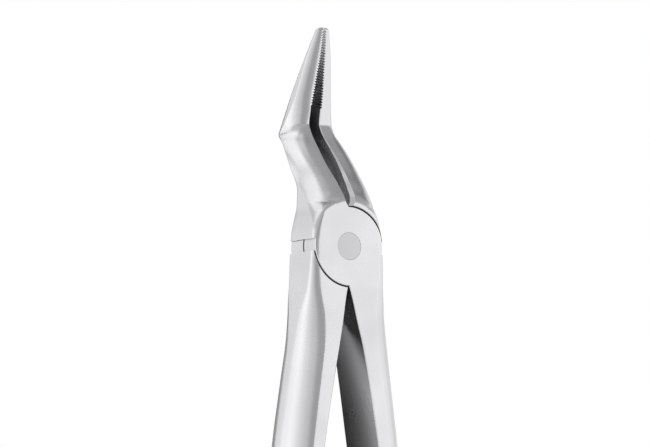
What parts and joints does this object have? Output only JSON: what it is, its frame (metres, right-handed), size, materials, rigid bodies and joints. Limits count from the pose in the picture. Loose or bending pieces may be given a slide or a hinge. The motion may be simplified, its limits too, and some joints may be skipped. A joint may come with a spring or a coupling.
{
  "type": "dental extraction forceps",
  "caption": "Hand forceps for pulling tooth roots: crossing steel halves on a flush rivet, bayonet necks and narrow serrated beaks, long bowed handles.",
  "frame": {"origin": "centre of the rivet's flush head, in the plane of the joint's front face", "axes": "+X along the instrument to the beak tips, +Z out of the joint's front face along the rivet, +Y to the side that the front half's beak is on; shown closed"},
  "size_m": [0.1716, 0.0356, 0.0214],
  "materials": {
    "satin_steel": "bead-blasted and lightly brushed stainless steel",
    "rivet_steel": "ground stainless steel"
  },
  "bodies": {
    "rear": {"rear_half": "satin_steel", "pivot_rivet": "rivet_steel"},
    "front": {"front_half": "satin_steel"}
  },
  "joints": [
    {"name": "forceps_pivot", "type": "hinge", "parent": "rear", "child": "front", "pos_m": [0, 0, -0.005], "axis": [0, 0, 1], "range_deg": [0, 16]}
  ]
}
